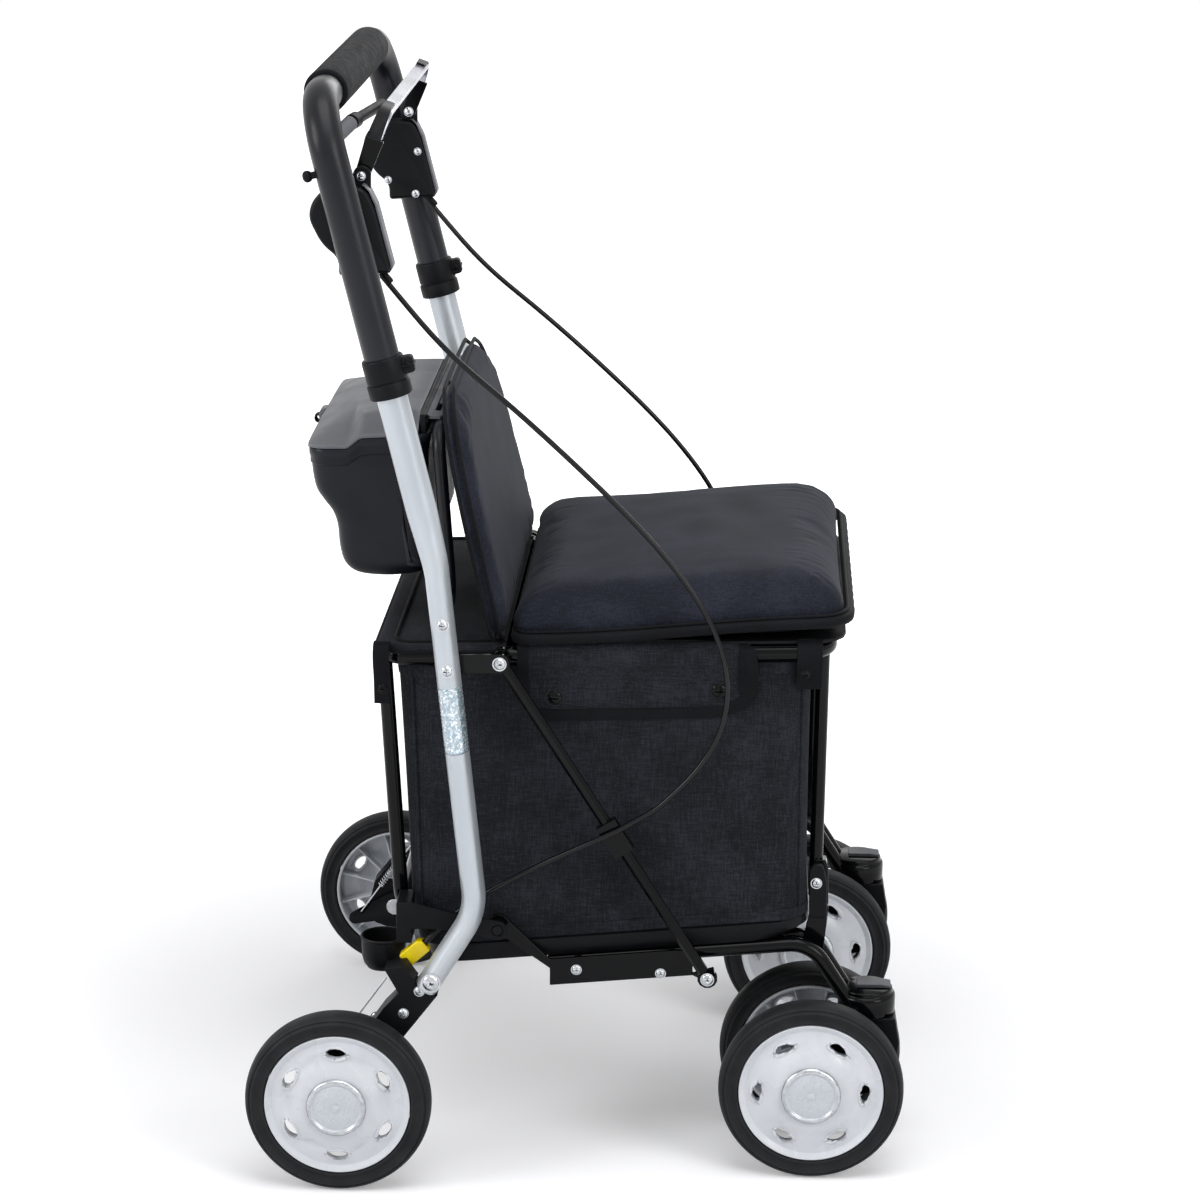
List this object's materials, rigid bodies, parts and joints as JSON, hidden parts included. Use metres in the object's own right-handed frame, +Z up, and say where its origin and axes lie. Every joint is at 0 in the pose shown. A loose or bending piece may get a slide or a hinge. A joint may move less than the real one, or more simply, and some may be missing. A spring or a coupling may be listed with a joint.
{
  "type": "shopping trolley",
  "caption": "Folding walking trolley with a padded seat over a fabric bag, backrest, lidded rear box, push handle with squeeze brake lever, braked rear wheels and twin-wheel front casters",
  "frame": {"origin": "on the floor, under the middle of the bounding box", "axes": "+Z up, forward (the way it is pushed) is -Y, its left is +X"},
  "size_m": [0.6106, 0.6134, 1.0255],
  "materials": {
    "aluminium_tube": "satin anodised",
    "black_tube": "satin black powder coat",
    "gloss_black_tube": "gloss black paint",
    "black_plastic": "fine matt grain",
    "grey_plastic": "satin",
    "white_plastic": "semi-gloss moulded",
    "yellow_plastic": "semi-gloss moulded",
    "tyre_rubber": "matt tread",
    "steel": "zinc plated",
    "grip_foam": "matt foam",
    "seat_fabric": "woven, dark blue-grey",
    "bag_fabric": "woven, charcoal blue",
    "cable_sheath": "smooth sheath"
  },
  "bodies": {
    "rear_frame": {"upright_left": "aluminium_tube", "upright_right": "aluminium_tube", "rear_bracket_left": "black_plastic", "rear_bracket_right": "black_plastic", "side_bracket_left": "black_plastic", "side_bracket_right": "black_plastic", "cable_adjuster_left": "yellow_plastic", "cable_adjuster_right": "yellow_plastic", "brake_cable_left": "cable_sheath", "brake_cable_right": "cable_sheath", "rear_axle_left": "steel", "rear_axle_right": "steel", "rear_ring": "gloss_black_tube", "rear_hoop": "black_tube", "backrest_frame": "black_tube", "backrest_pad": "seat_fabric", "box_body": "black_plastic", "stick_cup": "black_plastic", "bag": "bag_fabric"},
    "handle": {"handle_tube": "black_tube", "handle_grip": "grip_foam", "collar_left": "black_plastic", "collar_right": "black_plastic", "brake_housing_left": "black_plastic", "brake_housing_right": "black_plastic"},
    "brake_lever": {"lever_bar": "steel", "lever_arm_left": "black_plastic", "lever_arm_right": "black_plastic"},
    "box_lid_body": {"box_lid": "grey_plastic"},
    "base": {"base_frame": "black_tube", "tray": "black_plastic"},
    "seat_ring": {"front_ring": "gloss_black_tube"},
    "seat": {"seat_board": "black_plastic", "seat_cushion": "seat_fabric"},
    "front_poles": {"front_pole_left": "black_tube", "front_pole_right": "black_tube"},
    "braces": {"brace_left": "black_tube", "brace_right": "black_tube"},
    "rear_wheel_left": {"rear_left_tyre": "tyre_rubber", "rear_left_rim": "white_plastic"},
    "brake_arm_body_left": {"brake_arm_left": "black_plastic"},
    "caster_left": {"caster_fork_left": "black_plastic", "front_axle_left": "steel"},
    "lock_tab_body_left": {"lock_tab_left": "grey_plastic"},
    "front_wheel_left_outer": {"front_left_outer_tyre": "tyre_rubber", "front_left_outer_rim": "white_plastic"},
    "front_wheel_left_inner": {"front_left_inner_tyre": "tyre_rubber", "front_left_inner_rim": "white_plastic"},
    "rear_wheel_right": {"rear_right_tyre": "tyre_rubber", "rear_right_rim": "white_plastic"},
    "brake_arm_body_right": {"brake_arm_right": "black_plastic"},
    "caster_right": {"caster_fork_right": "black_plastic", "front_axle_right": "steel"},
    "lock_tab_body_right": {"lock_tab_right": "grey_plastic"},
    "front_wheel_right_outer": {"front_right_outer_tyre": "tyre_rubber", "front_right_outer_rim": "white_plastic"},
    "front_wheel_right_inner": {"front_right_inner_tyre": "tyre_rubber", "front_right_inner_rim": "white_plastic"}
  },
  "joints": [
    {"name": "base_fold", "type": "hinge", "parent": "rear_frame", "child": "base", "pos_m": [0, 0.07525, 0.236], "axis": [-1, 0, 0], "range_deg": [0, 85], "deforming": ["bag", "seat_cushion", "backrest_pad", "brake_cable_left", "brake_cable_right"]},
    {"name": "seat_ring_fold", "type": "hinge", "parent": "rear_frame", "child": "seat_ring", "pos_m": [0, 0.07225, 0.495], "axis": [-1, 0, 0], "range_deg": [0, 85]},
    {"name": "front_poles_fold", "type": "hinge", "parent": "base", "child": "front_poles", "pos_m": [0, -0.22475, 0.245], "axis": [-1, 0, 0], "range_deg": [-85, 0]},
    {"name": "braces_swing", "type": "hinge", "parent": "rear_frame", "child": "braces", "pos_m": [0, 0.07225, 0.495], "axis": [-1, 0, 0], "range_deg": [-23, 0]},
    {"name": "seat_lift", "type": "hinge", "parent": "seat_ring", "child": "seat", "pos_m": [0, 0.05851, 0.50382], "axis": [1, 0, 0], "range_deg": [-65, 0]},
    {"name": "handle_slide", "type": "slide", "parent": "rear_frame", "child": "handle", "axis": [0, 0.2385, 0.9711], "range_m": [-0.075, 0]},
    {"name": "brake_squeeze", "type": "hinge", "parent": "handle", "child": "brake_lever", "pos_m": [0, 0.19365, 0.9385], "axis": [-1, 0, 0], "range_deg": [0, 24], "stiffness_Nm_per_rad": 0.6},
    {"name": "lid_hinge", "type": "hinge", "parent": "rear_frame", "child": "box_lid_body", "pos_m": [0, 0.15175, 0.706], "axis": [1, 0, 0], "range_deg": [0, 100]},
    {"name": "rear_axle_left_turn", "type": "hinge", "parent": "rear_frame", "child": "rear_wheel_left", "pos_m": [0.2833, 0.21925, 0.08686], "axis": [1, 0, 0], "continuous": true},
    {"name": "brake_pull_left", "type": "hinge", "parent": "rear_frame", "child": "brake_arm_body_left", "pos_m": [0.2295, 0.21925, 0.08686], "axis": [1, 0, 0], "range_deg": [0, 10]},
    {"name": "caster_left_swivel", "type": "hinge", "parent": "base", "child": "caster_left", "pos_m": [0.1824, -0.27075, 0.155], "axis": [0, 0, 1], "continuous": true},
    {"name": "lock_tab_left_hinge", "type": "hinge", "parent": "base", "child": "lock_tab_body_left", "pos_m": [0.1824, -0.2613, 0.1723], "axis": [-1, 0, 0], "range_deg": [0, 20]},
    {"name": "front_wheel_left_outer_turn", "type": "hinge", "parent": "caster_left", "child": "front_wheel_left_outer", "pos_m": [0.2319, -0.21925, 0.08686], "axis": [1, 0, 0], "continuous": true},
    {"name": "front_wheel_left_inner_turn", "type": "hinge", "parent": "caster_left", "child": "front_wheel_left_inner", "pos_m": [0.1329, -0.21925, 0.08686], "axis": [1, 0, 0], "continuous": true},
    {"name": "rear_axle_right_turn", "type": "hinge", "parent": "rear_frame", "child": "rear_wheel_right", "pos_m": [-0.2833, 0.21925, 0.08686], "axis": [1, 0, 0], "continuous": true},
    {"name": "brake_pull_right", "type": "hinge", "parent": "rear_frame", "child": "brake_arm_body_right", "pos_m": [-0.2295, 0.21925, 0.08686], "axis": [1, 0, 0], "range_deg": [0, 10]},
    {"name": "caster_right_swivel", "type": "hinge", "parent": "base", "child": "caster_right", "pos_m": [-0.1824, -0.27075, 0.155], "axis": [0, 0, 1], "continuous": true},
    {"name": "lock_tab_right_hinge", "type": "hinge", "parent": "base", "child": "lock_tab_body_right", "pos_m": [-0.1824, -0.2613, 0.1723], "axis": [-1, 0, 0], "range_deg": [0, 20]},
    {"name": "front_wheel_right_outer_turn", "type": "hinge", "parent": "caster_right", "child": "front_wheel_right_outer", "pos_m": [-0.2319, -0.21925, 0.08686], "axis": [1, 0, 0], "continuous": true},
    {"name": "front_wheel_right_inner_turn", "type": "hinge", "parent": "caster_right", "child": "front_wheel_right_inner", "pos_m": [-0.1329, -0.21925, 0.08686], "axis": [1, 0, 0], "continuous": true}
  ],
  "couplings": [
    {"joint": "seat_ring_fold", "follows": "base_fold", "ratio": 1},
    {"joint": "front_poles_fold", "follows": "base_fold", "ratio": -1},
    {"joint": "braces_swing", "follows": "base_fold", "ratio": -0.265},
    {"joint": "brake_pull_left", "follows": "brake_squeeze", "ratio": 0.41667},
    {"joint": "brake_pull_right", "follows": "brake_squeeze", "ratio": 0.41667}
  ]
}
